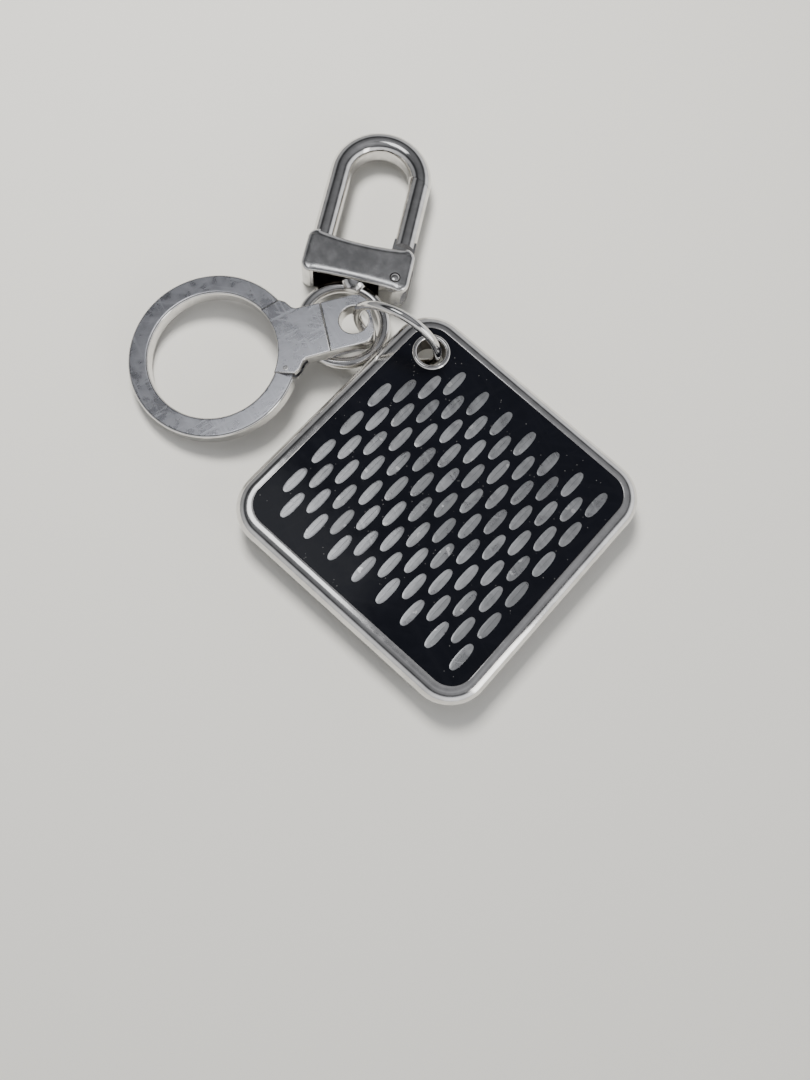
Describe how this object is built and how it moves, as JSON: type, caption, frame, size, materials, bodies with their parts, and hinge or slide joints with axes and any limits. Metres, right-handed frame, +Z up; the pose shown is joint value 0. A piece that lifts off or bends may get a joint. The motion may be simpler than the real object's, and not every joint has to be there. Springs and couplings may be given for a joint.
{
  "type": "tracker tag",
  "caption": "Square key-finder tag with a black face of metal ovals, on a wire jump ring with a flat hinged key ring and a swivel snap clasp.",
  "frame": {"origin": "centre of the back cover's outer face, on the surface the tag lies on", "axes": "+Z up out of the black face, +Y along the ovals, the eyelet is in the -X +Y corner"},
  "size_m": [0.0803, 0.0687, 0.0158],
  "materials": {
    "polished_metal": "polished, bright",
    "satin_metal": "satin, finely scratched",
    "inlay_metal": "brushed across the ovals",
    "black_face": "high gloss",
    "cover": "fine matte",
    "seal": "matte",
    "board": "solder mask",
    "chips": "matte",
    "carrier": "matte",
    "cell": "satin",
    "brass": "satin",
    "ceramic": "matte",
    "shield": "satin",
    "spring": "drawn wire"
  },
  "bodies": {
    "tag": {"tag_frame": "polished_metal", "face_panel": "black_face", "inlay_plate": "inlay_metal", "eyelet": "polished_metal", "back_cover": "cover", "cover_gasket": "seal", "cover_screws": "polished_metal", "circuit_board": "board", "radio_shield": "shield", "board_chips": "chips", "battery_carrier": "carrier", "coin_cell": "cell", "contact_positive": "brass", "contact_negative": "brass", "antenna": "brass", "sounder_disc": "brass", "sounder_crystal": "ceramic"},
    "jump_link": {"jump_ring": "polished_metal"},
    "ring_holder": {"ring_bridge": "satin_metal", "ring_tail": "satin_metal", "ring_hinge_pin": "polished_metal", "tail_dowel": "satin_metal"},
    "opening_ring": {"key_ring": "satin_metal"},
    "eye": {"swivel_eye": "polished_metal", "swivel_washer": "brass"},
    "clasp": {"clasp_body": "polished_metal", "gate_rivet": "polished_metal", "gate_spring": "spring"},
    "gate": {"clasp_gate": "polished_metal"}
  },
  "joints": [
    {"name": "jump_swing", "type": "hinge", "parent": "tag", "child": "jump_link", "pos_m": [-0.0172, 0.0172, 0.0046], "axis": [0, 0, -1], "range_deg": [0, 100]},
    {"name": "key_swing", "type": "hinge", "parent": "jump_link", "child": "ring_holder", "pos_m": [-0.02983, 0.01343, 0.0074], "axis": [0.0866, 0.1223, -0.9887], "range_deg": [-8, 28]},
    {"name": "eye_swing", "type": "hinge", "parent": "jump_link", "child": "eye", "pos_m": [-0.0317, 0.0123, 0.00315], "axis": [0, 0, -1], "range_deg": [-28, 15]},
    {"name": "clasp_swivel", "type": "hinge", "parent": "eye", "child": "clasp", "pos_m": [-0.03712, 0.02188, 0.00315], "axis": [-0.4924, 0.8704, 0], "continuous": true},
    {"name": "gate_hinge", "type": "hinge", "parent": "clasp", "child": "gate", "pos_m": [-0.03031, 0.02314, 0.00315], "axis": [0, 0, 1], "range_deg": [0, 15], "stiffness_Nm_per_rad": 0.01, "springref_deg": -22.92},
    {"name": "ring_hinge", "type": "hinge", "parent": "ring_holder", "child": "opening_ring", "pos_m": [-0.03199, -0.00037, 0.0051], "axis": [-0.0866, -0.1223, 0.9887], "range_deg": [0, 30]}
  ]
}
